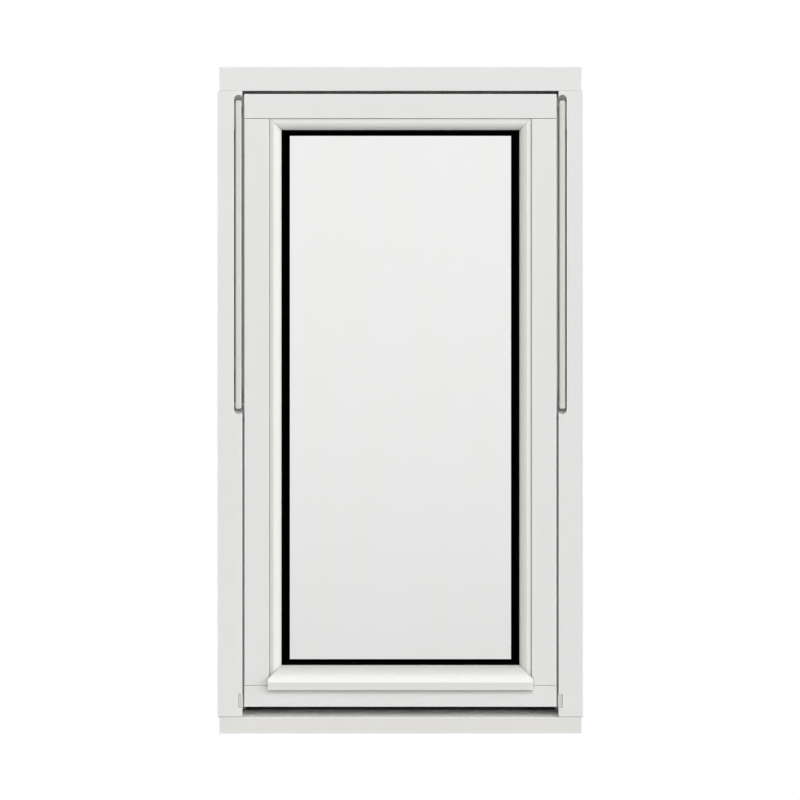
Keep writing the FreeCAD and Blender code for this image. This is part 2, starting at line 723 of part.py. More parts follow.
def plate_corners(y, z):
    half = mm.plate_width / 2
    return eye_link(y - half, y + half, z - mm.plate_length / 2, z + mm.plate_length / 2, half)


def make_arm_bracket():
    # Plate on the wall of the recess, stud through the upper eye of the arm, head on the sash side
    body = new_body("right_arm_bracket")
    thickness = recess_x - arm_outer - mm.side_play
    half = mm.plate_width / 2
    low = frame_pivot_z + half - mm.plate_length
    plate = eye_link(pivot_y - half, pivot_y + half, low, frame_pivot_z + half, half)
    side_profile(body, plate, recess_x, thickness, back=True)
    stud = mm.side_play + mm.arm_width + mm.side_play
    round_pad(body, recess_x - thickness, pivot_y, frame_pivot_z, mm.pivot_radius, stud, back=True)
    head_x = arm_inner - mm.side_play
    round_pad(body, head_x, pivot_y, frame_pivot_z, mm.rivet_radius, mm.rivet_thickness, back=True)
    return body


def make_sash_pivot():
    # Plate on the edge of the sash at mid-height, stud through the lower eye of the arm, head beyond it
    body = new_body("right_sash_pivot")
    side_profile(body, plate_corners(pivot_y, sash_pivot_z), sash_x, mm.plate_thickness)
    stud = arm_outer + mm.side_play - sash_x - mm.plate_thickness
    round_pad(body, sash_x + mm.plate_thickness, pivot_y, sash_pivot_z, mm.pivot_radius, stud)
    head_x = arm_outer + mm.side_play
    round_pad(body, head_x, pivot_y, sash_pivot_z, mm.rivet_radius, mm.rivet_thickness)
    return body


def make_track():
    body = new_body("right_guide_track")
    low = sill_stop + mm.track_margin
    high = head_stop - mm.track_margin
    side_profile(body, box_corners((track_front, low), (track_back, high)), jamb_inner, mm.track_depth)
    wall = mm.track_wall
    channel = box_corners((track_front + wall, low - wall), (track_back - wall, high + wall))
    side_pocket(body, channel, jamb_inner, mm.track_depth - wall, back=True)
    return body


def make_shoe():
    # Plate on the edge of the sash near its top, stud, and a shoe that slides in the track
    body = new_body("right_guide_shoe")
    side_profile(body, plate_corners(shoe_y, shoe_z), sash_x, mm.plate_thickness)
    face = jamb_inner + mm.shoe_play
    stud = face - sash_x - mm.plate_thickness
    round_pad(body, sash_x + mm.plate_thickness, shoe_y, shoe_z, mm.pivot_radius, stud)
    half = mm.track_width / 2 - mm.track_wall - mm.shoe_play
    low = shoe_z - mm.shoe_length / 2
    shoe = eye_link(shoe_y - half, shoe_y + half, low, low + mm.shoe_length, half)
    side_profile(body, shoe, face, mm.track_depth - mm.track_wall - mm.shoe_play * 2)
    return body


def make_keeper():
    body = new_body("right_keeper")
    play = mm.keeper_play
    front = outside + mm.keeper_sink
    corners = box_corners((front, keeper_bottom + play), (keeper_back, keeper_top - play))
    side_profile(body, corners, jamb_inner - mm.keeper_proud, mm.keeper_proud + mm.keeper_width - play)
    dress(body, "Fillet", mm.keeper_round, {"y": front})
    return body


def make_handle_base():
    body = new_body("handle_base")
    half = mm.rose_height / 2
    end = mm.rose_length / 2 - half
    sketch = new_sketch(body, "XZ_Plane", -sash_back)
    corners = [(-end, handle_z - half), (end, handle_z - half, HALF)]
    corners += [(end, handle_z + half), (-end, handle_z + half, HALF)]
    draw(sketch, corners)
    pad(body, sketch, mm.rose_thickness, back=True)
    dress(body, "Fillet", mm.rose_round, {"y": sash_back + mm.rose_thickness})
    return body


def make_handle_lever():
    body = new_body("handle_lever")
    neck_y = sash_back + mm.rose_thickness
    grip_y = neck_y + mm.neck_length
    tall = mm.grip_height / 2
    low = mm.grip_end_height / 2
    end = mm.grip_length - tall - low
    sketch = new_sketch(body, "XZ_Plane", -grip_y)
    corners = [(zero, handle_z - tall), (end, handle_z - low, HALF)]
    corners += [(end, handle_z + low), (zero, handle_z + tall, HALF)]
    draw(sketch, corners)
    pad(body, sketch, mm.grip_thickness, back=True)
    dress(body, "Fillet", mm.grip_round, {"y": grip_y}, {"y": grip_y + mm.grip_thickness})
    sketch = new_sketch(body, "XZ_Plane", -neck_y)
    draw_circle(sketch, zero, handle_z, mm.neck_radius)
    pad(body, sketch, mm.neck_length + mm.grip_thickness / 2, back=True)
    return body


pieces = [make_head(), make_sill(), make_frame_seal()]
pieces += [make_top_rail(), make_bottom_rail(), make_top_bead(), make_bottom_bead()]
pieces += [make_pane("outer_pane", outer_glass_y), make_pane("inner_pane", cavity_back)]
pieces += make_glass_edge()
pieces += [make_gasket(), make_tape(), make_handle_base(), make_handle_lever()]
for make in (make_jamb, make_stile, make_setting_block, make_arm, make_arm_bracket, make_sash_pivot):
    piece = make()
    pieces += [piece, mirrored(piece, piece.Label.replace("right", "left"))]
for make in (make_stile_strip, make_side_bead, make_track, make_shoe, make_keeper):
    piece = make()
    pieces += [piece, mirrored(piece, piece.Label.replace("right", "left"))]

doc.recompute()
for item in doc.Objects:
    if "Invalid" in item.State or "Error" in item.State:
        raise RuntimeError(f"{item.Label} failed: {item.State}")
for piece in pieces:
    if piece.Shape.isNull() or not piece.Shape.isValid():
        raise RuntimeError(f"{piece.Label} has no valid shape")

os.makedirs("parts", exist_ok=True)
for piece in pieces:
    piece.Shape.exportStep(os.path.join("parts", piece.Label + ".step"))
print(f"{len(pieces)} pieces written")
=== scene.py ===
import math
import bmesh
import bpy
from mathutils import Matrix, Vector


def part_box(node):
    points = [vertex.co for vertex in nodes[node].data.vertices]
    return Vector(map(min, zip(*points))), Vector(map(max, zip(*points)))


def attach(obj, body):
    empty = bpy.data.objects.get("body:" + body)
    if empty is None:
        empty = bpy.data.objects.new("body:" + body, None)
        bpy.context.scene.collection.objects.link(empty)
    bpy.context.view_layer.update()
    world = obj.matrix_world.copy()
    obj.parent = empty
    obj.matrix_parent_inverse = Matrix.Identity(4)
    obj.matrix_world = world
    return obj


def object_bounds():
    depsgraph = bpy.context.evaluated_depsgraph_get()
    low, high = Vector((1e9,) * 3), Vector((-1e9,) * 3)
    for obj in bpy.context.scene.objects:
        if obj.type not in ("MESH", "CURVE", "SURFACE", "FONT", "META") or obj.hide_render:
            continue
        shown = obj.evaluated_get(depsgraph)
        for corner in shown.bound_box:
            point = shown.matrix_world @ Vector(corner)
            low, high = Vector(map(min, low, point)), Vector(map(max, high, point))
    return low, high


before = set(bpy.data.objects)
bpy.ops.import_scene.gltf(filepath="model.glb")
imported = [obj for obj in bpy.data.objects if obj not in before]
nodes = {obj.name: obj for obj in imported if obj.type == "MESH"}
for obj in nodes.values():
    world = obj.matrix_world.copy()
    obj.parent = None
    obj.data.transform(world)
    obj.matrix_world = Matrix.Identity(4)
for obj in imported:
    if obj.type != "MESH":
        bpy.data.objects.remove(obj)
cadBounds = [list(corner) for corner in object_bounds()]
scene = bpy.context.scene
print("frame loaded:", len(nodes), "pieces")


# levels of 255 to linear colour
def srgb(r, g, b):
    def linear(level):
        level /= 255
        return level / 12.92 if level <= 0.04045 else ((level + 0.055) / 1.055) ** 2.4

    return (linear(r), linear(g), linear(b), 1.0)


def blendTone(tone, other, share):
    return tuple(a + (b - a) * share for a, b in zip(tone, other))


white = (1.0, 1.0, 1.0, 1.0)
black = (0.0, 0.0, 0.0, 1.0)
quarterTurn = math.radians(90)
vectorSocket = "NodeSocketVector"
colourSocket = "NodeSocketColor"
valueSocket = "NodeSocketFloat"
shapeSocket = "NodeSocketGeometry"


# small helpers for node trees
def addNode(tree, kind, inputs=None, **settings):
    node = tree.nodes.new(kind)
    for name, value in settings.items():
        setattr(node, name, value)
    for key, value in (inputs or {}).items():
        socket = node.inputs[key]
        if isinstance(value, bpy.types.NodeSocket):
            tree.links.new(value, socket)
        else:
            socket.default_value = value
    return node


def newGroup(name, inputs, outputs, kind="ShaderNodeTree"):
    tree = bpy.data.node_groups.new(name, kind)
    for label, socketKind in inputs.items():
        tree.interface.new_socket(label, in_out="INPUT", socket_type=socketKind)
    for label, socketKind in outputs.items():
        tree.interface.new_socket(label, in_out="OUTPUT", socket_type=socketKind)
    return tree, tree.nodes.new("NodeGroupInput").outputs, tree.nodes.new("NodeGroupOutput").inputs


def placeGroup(tree, group, inputs):
    return addNode(tree, "ShaderNodeGroup", inputs, node_tree=group).outputs


def math2(tree, operation, a, b=0.0, clamp=False):
    settings = {"operation": operation, "use_clamp": clamp}
    return addNode(tree, "ShaderNodeMath", {0: a, 1: b}, **settings).outputs[0]


def weighted(tree, first, firstShare, second, secondShare):
    first = math2(tree, "MULTIPLY", first, firstShare)
    return math2(tree, "ADD", first, math2(tree, "MULTIPLY", second, secondShare))


def noise(tree, vector, scale, detail=2.0, rough=0.5):
    inputs = {"Vector": vector, "Scale": scale, "Detail": detail, "Roughness": rough}
    return addNode(tree, "ShaderNodeTexNoise", inputs).outputs["Fac"]


def remap(tree, value, low, high, start=0.0, end=1.0):
    inputs = {"Value": value, "From Min": start, "From Max": end, "To Min": low, "To Max": high}
    return addNode(tree, "ShaderNodeMapRange", inputs).outputs["Result"]


def mapped(tree, vector, turn=(0.0, 0.0, 0.0), scale=(1.0, 1.0, 1.0)):
    inputs = {"Vector": vector, "Rotation": turn, "Scale": scale}
    return addNode(tree, "ShaderNodeMapping", inputs).outputs[0]


def mixTone(tree, share, first, second):
    return addNode(tree, "ShaderNodeMix", {0: share, 6: first, 7: second}, data_type="RGBA").outputs[2]


def separate(tree, vector):
    return addNode(tree, "ShaderNodeSeparateXYZ", {0: vector}).outputs


def emptyMaterial(name):
    material = bpy.data.materials.new(name)
    material.use_nodes = True
    material.node_tree.nodes.clear()
    output = addNode(material.node_tree, "ShaderNodeOutputMaterial")
    return material, material.node_tree, output.inputs["Surface"]


def newMaterial(name):
    material, tree, surface = emptyMaterial(name)
    coords = addNode(tree, "ShaderNodeTexCoord").outputs["Object"]
    shader = addNode(tree, "ShaderNodeBsdfPrincipled")
    tree.links.new(shader.outputs[0], surface)
    return material, tree, coords, shader


def plug(tree, shader, colour, roughness, height, distance):
    bump = addNode(tree, "ShaderNodeBump", {"Height": height, "Distance": distance})
    tree.links.new(colour, shader.inputs["Base Color"])
    tree.links.new(roughness, shader.inputs["Roughness"])
    tree.links.new(bump.outputs[0], shader.inputs["Normal"])


surfaceOut = {"Color": colourSocket, "Roughness": valueSocket, "Height": valueSocket}

# paint film: grain that shows faintly through the coats, spray texture, soft tone drift
filmNoise = {
    "stretch": (1.0, 1.0, 0.035),  # fibres and bands run long in z
    "fibre": {"scale": 520.0, "detail": 4.0, "rough": 0.62},
    "fibreShare": 0.55,
    "band": {"scale": 95.0},
    "bandShare": 0.45,
    "peel": {"scale": 900.0, "detail": 1.0},
    "drift": {"scale": 3.5},
    "driftShare": 0.6,
    "speck": {"scale": 60.0, "detail": 3.0},
    "speckShare": 0.4,
    "glossDrift": 0.05,  # roughness varies this much either way
}


def makePaintFilm():
    inputs = {
        "Vector": vectorSocket, "Tint": colourSocket, "Shade": colourSocket,
        "Grain": valueSocket, "Peel": valueSocket, "Gloss": valueSocket,
    }
    tree, given, out = newGroup("paintFilm", inputs, surfaceOut)
    along = mapped(tree, given["Vector"], scale=filmNoise["stretch"])
    fibre = noise(tree, along, **filmNoise["fibre"])
    band = noise(tree, along, **filmNoise["band"])
    peel = noise(tree, given["Vector"], **filmNoise["peel"])
    drift = noise(tree, given["Vector"], **filmNoise["drift"])
    speck = noise(tree, given["Vector"], **filmNoise["speck"])
    tone = weighted(tree, drift, filmNoise["driftShare"], speck, filmNoise["speckShare"])
    grain = weighted(tree, fibre, filmNoise["fibreShare"], band, filmNoise["bandShare"])
    rough = remap(tree, speck, -filmNoise["glossDrift"], filmNoise["glossDrift"])
    tree.links.new(mixTone(tree, tone, given["Tint"], given["Shade"]), out["Color"])
    tree.links.new(math2(tree, "ADD", given["Gloss"], rough), out["Roughness"])
    tree.links.new(weighted(tree, grain, given["Grain"], peel, given["Peel"]), out["Height"])
    return tree


# ageing and painted light: corners, recesses and drawn joints darkened, as fine dust and as painted shade;
# arrises made paler, as rubbing and as a painted highlight, and smoother
ageNoise = {
    "patch": {"scale": 150.0, "detail": 3.0},
    "patchLow": 0.75,  # dust, painted shade, wear and painted highlight vary between these two
    "patchHigh": 1.25,
    "dustAndShadeRough": 0.3,
    "rubbedAndHighlitSmooth": 0.1,
}


def makeAgeingAndShading():
    inputs = {
        "Vector": vectorSocket,
        "Color": colourSocket,
        "Roughness": valueSocket,
        "Open": valueSocket,  # 1 in the open, less in a corner
        "Solid": valueSocket,  # 1 on a face, less along an arris
        "Joint": valueSocket,  # 1 on a drawn joint line
        "DustAndShade": colourSocket,
        "DustAndShadeShare": valueSocket,
        "RubbedAndHighlit": colourSocket,
        "WornAndHighlit": valueSocket,
    }
    tree, given, out = newGroup("ageingAndShading", inputs, {"Color": colourSocket, "Roughness": valueSocket})
    patchy = noise(tree, given["Vector"], **ageNoise["patch"])
    patchy = remap(tree, patchy, ageNoise["patchLow"], ageNoise["patchHigh"])
    # painted shade: corners, recesses and drawn joints mix towards the dark tone, for dust and for the
    # shade that falls there
    corner = math2(tree, "MAXIMUM", math2(tree, "SUBTRACT", 1.0, given["Open"]), given["Joint"])
    corner = math2(tree, "MULTIPLY", corner, given["DustAndShadeShare"])
    corner = math2(tree, "MULTIPLY", corner, patchy, clamp=True)
    # painted highlight: arrises mix towards the pale tone, for wear and for the light they catch
    arris = math2(tree, "MULTIPLY", math2(tree, "SUBTRACT", 1.0, given["Solid"]), given["WornAndHighlit"])
    arris = math2(tree, "MULTIPLY", arris, patchy, clamp=True)
    colour = mixTone(tree, arris, given["Color"], given["RubbedAndHighlit"])
    tree.links.new(mixTone(tree, corner, colour, given["DustAndShade"]), out["Color"])
    rough = math2(tree, "ADD", given["Roughness"], math2(tree, "MULTIPLY", corner, ageNoise["dustAndShadeRough"]))
    rough = math2(tree, "SUBTRACT", rough, math2(tree, "MULTIPLY", arris, ageNoise["rubbedAndHighlitSmooth"]))
    tree.links.new(rough, out["Roughness"])
    return tree


# joint line of the mitred beads, drawn at 45 degrees through each corner of the sight opening
def makeMitreLine():
    inputs = {
        "Vector": vectorSocket, "Side": valueSocket, "Top": valueSocket,
        "Bottom": valueSocket, "Width": valueSocket,
    }
    tree, given, out = newGroup("mitreLine", inputs, {"Mask": valueSocket})
    place = separate(tree, given["Vector"])
    across = math2(tree, "SUBTRACT", math2(tree, "ABSOLUTE", place["X"]), given["Side"])
    above = math2(tree, "SUBTRACT", place["Z"], given["Top"])
    below = math2(tree, "SUBTRACT", given["Bottom"], place["Z"])
    upper = math2(tree, "ABSOLUTE", math2(tree, "SUBTRACT", across, above))
    lower = math2(tree, "ABSOLUTE", math2(tree, "SUBTRACT", across, below))
    near = math2(tree, "MINIMUM", upper, lower)
    tree.links.new(remap(tree, near, 1.0, 0.0, 0.0, given["Width"]), out["Mask"])
    return tree


# moulded and coated finishes share one fine surface
microNoise = {
    "fine": {"detail": 3.0, "rough": 0.6},
    "patch": {"scale": 45.0, "detail": 3.0},
    "patchMiddle": 0.5,  # where roughness stays as set
}


def makeMicroSurface():
    inputs = {
        "Vector": vectorSocket, "Tint": colourSocket, "Shade": colourSocket,
        "Size": valueSocket, "Gloss": valueSocket, "Spread": valueSocket,
    }
    tree, given, out = newGroup("microSurface", inputs, surfaceOut)
    fine = noise(tree, given["Vector"], given["Size"], **microNoise["fine"])
    patch = noise(tree, given["Vector"], **microNoise["patch"])
    offset = math2(tree, "SUBTRACT", patch, microNoise["patchMiddle"])
    offset = math2(tree, "MULTIPLY", offset, given["Spread"])
    tree.links.new(mixTone(tree, patch, given["Tint"], given["Shade"]), out["Color"])
    tree.links.new(math2(tree, "ADD", given["Gloss"], offset), out["Roughness"])
    tree.links.new(fine, out["Height"])
    return tree


paintFilm = makePaintFilm()
ageingAndShading = makeAgeingAndShading()
mitreLine = makeMitreLine()
microSurface = makeMicroSurface()

# the two occlusion readings that ageing and the painted shade and highlight work from
reach = {"corner": 0.004, "arris": 0.0018, "rays": 8}  # how far dust with painted shade, and wear with painted highlight, spread, in metres


def openness(tree, distance):
    settings = {"samples": reach["rays"]}
    return addNode(tree, "ShaderNodeAmbientOcclusion", {"Distance": distance}, **settings).outputs["AO"]


def solidness(tree):
    inputs = {"Distance": reach["arris"]}
    settings = {"samples": reach["rays"], "inside": True, "only_local": True}
    return addNode(tree, "ShaderNodeAmbientOcclusion", inputs, **settings).outputs["AO"]


alongZ = (0.0, 0.0, 0.0)
alongX = (0.0, quarterTurn, 0.0)  # turns the grain to run across

framePaint = {
    "tint": srgb(233, 233, 233),
    "shade": srgb(230, 230, 229),
    # the dark tone is painted shade in corners as well as dust; the pale tone is a painted highlight on
    # arrises as well as wear
    "dustAndShade": srgb(150, 148, 138),
    "rubbedAndHighlit": srgb(253, 253, 252),
    "corner": reach["corner"],
    "dustAndShadeShare": 0.85,
    "wornAndHighlit": 2.3,
    "grain": 0.5,
    "peel": 0.35,
    "gloss": 0.34,
    "depth": 0.00016,  # how far the film follows the wood, in metres
}
# the sill and the beads are a shade warmer than the frame
warmTones = {"tint": srgb(230, 229, 226), "shade": srgb(227, 226, 222)}
sillCoat = dict(framePaint, **warmTones, corner=0.002, dustAndShadeShare=0.4)
# the beads carry their painted shade further out from their corners, and more of it
beadCoat = dict(framePaint, corner=0.009, dustAndShadeShare=0.95)
sideBeads = dict(beadCoat, tint=srgb(232, 232, 229), shade=srgb(229, 229, 225))
longBeads = dict(beadCoat, **warmTones)
mitre = {
    "Side": -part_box("glazing_bead_left")[1][0],
    "Top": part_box("glazing_bead_top")[0][2],
    "Bottom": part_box("glazing_bead_bottom")[1][2],
    "Width": 0.0011,
}

# painted light by height in metres: faces that look up are painted paler, as a highlight, up to one height
# and clear of it from the next, and on the nose a painted shade, given as dust, grows from there up to the
# glass
sillSlope = {"highlightFullTo": 0.0395, "clear": 0.041, "paintedHighlight": 0.36, "dustAndShade": 0.0}
noseSlope = {"highlightFullTo": 0.09, "clear": 0.1, "paintedHighlight": 0.36, "dustAndShade": 0.2, "glass": mitre["Bottom"]}
facingUp = 0.1  # least z of the normal of a face that counts as looking up


def addSlopeHighlightAndShade(tree, coords, slope, aged):
    height = separate(tree, coords)["Z"]
    normal = addNode(tree, "ShaderNodeNewGeometry").outputs["True Normal"]
    upward = math2(tree, "GREATER_THAN", separate(tree, normal)["Z"], facingUp)
    # painted highlight: faces that look up are made paler up to a given height
    paintedHighlight = remap(tree, height, slope["paintedHighlight"], 0.0, slope["highlightFullTo"], slope["clear"])
    paintedHighlight = math2(tree, "MULTIPLY", paintedHighlight, upward)
    aged["Solid"] = math2(tree, "MINIMUM", aged["Solid"], math2(tree, "SUBTRACT", 1.0, paintedHighlight))
    # painted shade near the glass, given as dust
    if slope["dustAndShade"]:
        dustAndShade = remap(tree, height, 0.0, slope["dustAndShade"], slope["clear"], slope["glass"])
        aged["Joint"] = math2(tree, "MAXIMUM", aged["Joint"], dustAndShade)


def paintMaterial(name, turn, paint, jointed=False, slope=None):
    material, tree, coords, shader = newMaterial(name)
    film = placeGroup(tree, paintFilm, {
        "Vector": mapped(tree, coords, turn=turn), "Tint": paint["tint"], "Shade": paint["shade"],
        "Grain": paint["grain"], "Peel": paint["peel"], "Gloss": paint["gloss"],
    })
    aged = {
        "Vector": coords, "Color": film["Color"], "Roughness": film["Roughness"],
        "Open": openness(tree, paint["corner"]), "Solid": solidness(tree),
        "DustAndShade": paint["dustAndShade"], "DustAndShadeShare": paint["dustAndShadeShare"], "RubbedAndHighlit": paint["rubbedAndHighlit"], "WornAndHighlit": paint["wornAndHighlit"],
    }
    if jointed:
        aged["Joint"] = placeGroup(tree, mitreLine, dict(mitre, Vector=coords))["Mask"]
    if slope:
        addSlopeHighlightAndShade(tree, coords, slope, aged)
    surface = placeGroup(tree, ageingAndShading, aged)
    plug(tree, shader, surface["Color"], surface["Roughness"], film["Height"], paint["depth"])
    return material


paintFinishes = {
    "paintAcross": {"turn": alongX, "paint": framePaint},
    "paintUpright": {"turn": alongZ, "paint": framePaint},
    "sillPaint": {"turn": alongX, "paint": sillCoat, "slope": sillSlope},
    "beadAcross": {"turn": alongX, "paint": longBeads, "jointed": True},
    "beadNose": {"turn": alongX, "paint": longBeads, "jointed": True, "slope": noseSlope},
    "beadUpright": {"turn": alongZ, "paint": sideBeads, "jointed": True},
}
microAge = {"dustAndShadeDarkness": 0.55, "rubbedAndHighlitTint": 0.4}  # shares of black in the dust and painted shade, and of white in the wear and painted highlight on the arrises


def microMaterial(name, tint, shade, size, gloss, spread, depth,
                  metallic=0.0, stretch=None, specular=0.5, dustAndShadeShare=0.5, wornAndHighlit=0.4):
    material, tree, coords, shader = newMaterial(name)
    fine = placeGroup(tree, microSurface, {
        "Vector": mapped(tree, coords, scale=stretch) if stretch else coords,
        "Tint": tint, "Shade": shade, "Size": size, "Gloss": gloss, "Spread": spread,
    })
    shader.inputs["Metallic"].default_value = metallic
    shader.inputs["Specular IOR Level"].default_value = specular
    surface = fine
    # painted shade in corners and a painted highlight on arrises, as dust and wear
    if dustAndShadeShare or wornAndHighlit:
        surface = placeGroup(tree, ageingAndShading, {
            "Vector": coords, "Color": fine["Color"], "Roughness": fine["Roughness"],
            "Open": openness(tree, reach["corner"]), "Solid": solidness(tree),
            "DustAndShade": blendTone(tint, black, microAge["dustAndShadeDarkness"]), "DustAndShadeShare": dustAndShadeShare,
            "RubbedAndHighlit": blendTone(tint, white, microAge["rubbedAndHighlitTint"]), "WornAndHighlit": wornAndHighlit,
        })
    plug(tree, shader, surface["Color"], surface["Roughness"], fine["Height"], depth)
    return material


# the black sealing parts behind the glass carry no dust, wear, painted shade or painted highlight
sealBlack = {"tint": srgb(3, 3, 3), "shade": srgb(1, 1, 1), "specular": 0.02, "dustAndShadeShare": 0.0, "wornAndHighlit": 0.0}
rubber = {"size": 1400.0, "spread": 0.14, "depth": 0.00006}
plastic = {"size": 1600.0, "gloss": 0.5, "spread": 0.1, "depth": 0.00004}
microFinishes = {
    "blackEdge": dict(sealBlack, size=1800.0, gloss=0.62, spread=0.1, depth=0.00004),
    "blackRubber": dict(sealBlack, **rubber, gloss=0.8),
    "sealRubber": dict(rubber, tint=srgb(66, 66, 65), shade=srgb(56, 56, 55), gloss=0.75, wornAndHighlit=0.1),
    "stripRubber": dict(rubber, tint=srgb(230, 230, 227), shade=srgb(222, 222, 218), gloss=0.72),
    "blockPlastic": dict(plastic, tint=srgb(84, 90, 98), shade=srgb(76, 82, 90)),
    "armCoat": {
        "tint": srgb(220, 219, 214), "shade": srgb(216, 215, 209),
        "size": 1200.0, "gloss": 0.45, "spread": 0.08, "depth": 0.00005,
    },
    "trackMetal": {
        "tint": srgb(200, 201, 202), "shade": srgb(186, 187, 189),
        "size": 2600.0, "gloss": 0.34, "spread": 0.12, "depth": 0.00002,
        "metallic": 1.0, "stretch": (1.0, 1.0, 0.01),
    },
    "zincPlate": {
        "tint": srgb(188, 190, 192), "shade": srgb(160, 163, 166),
        "size": 900.0, "gloss": 0.36, "spread": 0.18, "depth": 0.00002, "metallic": 1.0,
    },
    "shoeNylon": dict(plastic, tint=srgb(52, 52, 53), shade=srgb(44, 44, 45), size=1500.0, wornAndHighlit=0.15),
    "keeperPlastic": dict(plastic, tint=srgb(214, 213, 208), shade=srgb(208, 207, 201)),
    "capPlastic": {
        "tint": srgb(234, 234, 232), "shade": srgb(230, 230, 227),
        "size": 1700.0, "gloss": 0.42, "spread": 0.08, "depth": 0.00003,
    },
    "handleCoat": {
        "tint": srgb(232, 232, 229), "shade": srgb(228, 228, 224),
        "size": 1300.0, "gloss": 0.36, "spread": 0.06, "depth": 0.00004,
    },
}
floatGlass = {
    "ior": 1.5,
    "tint": srgb(254, 254, 253),
    "stretch": (1.0, 1.0, 0.3),
    "wipe": {"scale": 14.0, "detail": 4.0},  # faint wiping marks
    "haze": 0.012,
}


def glassMaterial(name):
    material, tree, coords, shader = newMaterial(name)
    shader.inputs["Transmission Weight"].default_value = 1.0
    shader.inputs["IOR"].default_value = floatGlass["ior"]
    wipe = noise(tree, mapped(tree, coords, scale=floatGlass["stretch"]), **floatGlass["wipe"])
    tree.links.new(remap(tree, wipe, 0.0, floatGlass["haze"]), shader.inputs["Roughness"])
    tree.links.new(mixTone(tree, wipe, white, floatGlass["tint"]), shader.inputs["Base Color"])
    return material


materials = {name: paintMaterial(name, **values) for name, values in paintFinishes.items()}
materials["floatGlass"] = glassMaterial("floatGlass")
materials.update({name: microMaterial(name, **values) for name, values in microFinishes.items()})
print("materials made:", len(materials))

finishes = {
    "paintAcross": ["head", "sash_top_rail", "sash_bottom_rail"],
    "paintUpright": ["left_jamb", "right_jamb", "left_stile", "right_stile"],
    "sillPaint": ["sill"],
    "beadAcross": ["glazing_bead_top"],
    "beadNose": ["glazing_bead_bottom"],
    "beadUpright": ["glazing_bead_left", "glazing_bead_right"],
    "floatGlass": ["outer_pane", "inner_pane"],
    "blackEdge": ["spacer_bar", "edge_sealant"],
    "blackRubber": ["glazing_gasket", "glazing_tape"],
    "sealRubber": ["frame_seal"],
    "stripRubber": ["left_stile_strip", "right_stile_strip"],
    "blockPlastic": ["left_setting_block", "right_setting_block"],
    "armCoat": ["left_swing_arm", "right_swing_arm"],
    "trackMetal": ["left_guide_track", "right_guide_track"],
    "zincPlate": ["left_arm_bracket", "right_arm_bracket", "left_sash_pivot", "right_sash_pivot"],
    "shoeNylon": ["left_guide_shoe", "right_guide_shoe"],
    "keeperPlastic": ["left_keeper", "right_keeper"],
    "handleCoat": ["handle_base", "handle_lever"],
}
for finish, names in finishes.items():
    for name in names:
        nodes[name].data.materials.clear()
        nodes[name].data.materials.append(materials[finish])
print("finishes assigned:", sum(len(names) for names in finishes.values()))


# pieces set out by geometry nodes, in metres: the fixings in the four holes through the jambs
fixing = {
    "outer": 0.298,  # x of the jambs' outer faces
    "reveal": 0.2447,  # and of their reveals
    "sunk": 0.0012,  # how far a sleeve stands back
    "rimSides": 36,
    "boreSides": 6,
    "inset": 0.86,  # the dish's share of a cap's face
    "weld": 1e-6,
}
holes = {"Depth": 0.0175, "Low": 0.15, "High": 0.937}


def join(tree, *parts):
    node = addNode(tree, "GeometryNodeJoinGeometry")
    for part in parts:
        tree.links.new(part, node.inputs[0])
    return node.outputs[0]


def shapeGroup(name, values):
    inputs = dict.fromkeys(values, valueSocket)
    return newGroup(name, inputs, {"Geometry": shapeSocket}, "GeometryNodeTree")


# one jamb's two copies
def setOut(tree, shape, start, turn, given):
    place = {"X": start, "Y": given["Depth"], "Z": given["Low"]}
    place = addNode(tree, "ShaderNodeCombineXYZ", place).outputs[0]
    rise = math2(tree, "SUBTRACT", given["High"], given["Low"])
    step = addNode(tree, "ShaderNodeCombineXYZ", {"Z": rise}).outputs[0]
    line = addNode(tree, "GeometryNodeMeshLine", {"Count": 2, "Start Location": place, "Offset": step})
    inputs = {"Points": line.outputs[0], "Instance": shape, "Rotation": (0.0, turn, 0.0)}
    return addNode(tree, "GeometryNodeInstanceOnPoints", inputs).outputs[0]


# both jambs, the right one first
def closeTree(tree, out, shape, given, material):
    left = math2(tree, "MULTIPLY", given["Start"], -1.0)
    parts = [
        setOut(tree, shape, given["Start"], -quarterTurn, given),
        setOut(tree, shape, left, quarterTurn, given),
    ]
    real = addNode(tree, "GeometryNodeRealizeInstances", {0: join(tree, *parts)}).outputs[0]
    inputs = {"Geometry": real, "Material": material}
    tree.links.new(addNode(tree, "GeometryNodeSetMaterial", inputs).outputs[0], out["Geometry"])
    return tree


# a steel sleeve with a six-sided bore
sleeve = dict(
    holes,
    Start=fixing["outer"] - fixing["sunk"],
    Radius=0.0068,
    Bore=0.0052,  # to the corners of the hexagon
    Length=0.045,
)


def sleeveTree():
    tree, given, out = shapeGroup("fixingSleeve", sleeve)
    circle = "GeometryNodeCurvePrimitiveCircle"
    rim = addNode(tree, circle, {"Resolution": fixing["rimSides"], "Radius": given["Radius"]})
    hexagon = addNode(tree, circle, {"Resolution": fixing["boreSides"], "Radius": given["Bore"]})
    face = addNode(tree, "GeometryNodeFillCurve", {"Curve": join(tree, rim.outputs[0], hexagon.outputs[0])})
    up = addNode(tree, "ShaderNodeCombineXYZ", {"Z": 1.0}).outputs[0]
    push = {"Mesh": face.outputs[0], "Offset": up, "Offset Scale": given["Length"], "Individual": False}
    tube = addNode(tree, "GeometryNodeExtrudeMesh", push).outputs["Mesh"]
    base = addNode(tree, "GeometryNodeFlipFaces", {"Mesh": face.outputs[0]}).outputs[0]
    return closeTree(tree, out, join(tree, tube, base), given, materials["zincPlate"])


# a round cover cap with a bevelled rim and a dished face
cap = dict(
    holes,
    Start=fixing["reveal"],
    Radius=0.0088,
    Face=0.0078,
    Thick=0.0018,
    Dish=0.0005,
)


